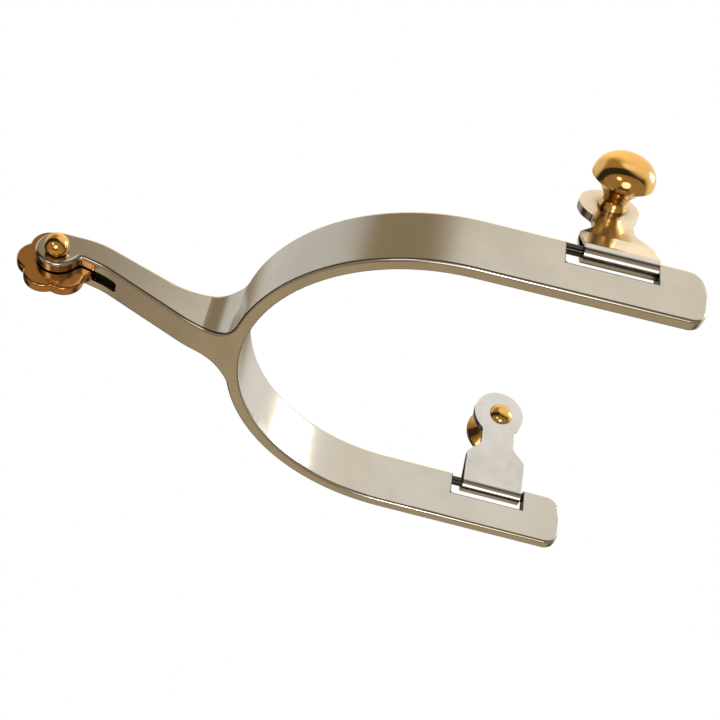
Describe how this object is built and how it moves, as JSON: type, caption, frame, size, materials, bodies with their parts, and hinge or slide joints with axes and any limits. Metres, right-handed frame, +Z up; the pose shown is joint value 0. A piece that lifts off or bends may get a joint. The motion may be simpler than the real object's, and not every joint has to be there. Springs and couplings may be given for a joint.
{
  "type": "western riding spur",
  "caption": "Steel U-shaped western spur with a raised forked shank, a lobed brass rowel and brass strap buttons on swinging hangers.",
  "frame": {"origin": "centre of the yoke's half circle, at the band's mid-height", "axes": "+X forward to the band's tips, away from the shank; +Y to the wearer's left; +Z up as worn"},
  "size_m": [0.1287, 0.0964, 0.0389],
  "materials": {
    "polished_steel": "polished, with soft reflections and brighter rounded edges",
    "strap_steel": "satin",
    "brass": "polished"
  },
  "bodies": {
    "spur": {"heel_band": "polished_steel", "rowel_pin": "brass"},
    "rowel": {"rowel": "brass"},
    "hanger_right": {"hanger_right": "strap_steel", "strap_button_right": "brass", "button_rivet_right": "brass"},
    "hanger_left": {"hanger_left": "strap_steel", "strap_button_left": "brass", "button_rivet_left": "brass"}
  },
  "joints": [
    {"name": "rowel_spin", "type": "hinge", "parent": "spur", "child": "rowel", "pos_m": [-0.0789, 0, 0.0063], "axis": [0, 1, 0], "continuous": true},
    {"name": "hanger_right_swing", "type": "hinge", "parent": "spur", "child": "hanger_right", "pos_m": [0.02539, -0.04023, 0.00533], "axis": [0.9998, -0.0175, 0], "range_deg": [-117, 167]},
    {"name": "hanger_left_swing", "type": "hinge", "parent": "spur", "child": "hanger_left", "pos_m": [0.02479, 0.04022, 0.00533], "axis": [-0.9998, -0.0175, 0], "range_deg": [-128.5, 160.5]}
  ]
}
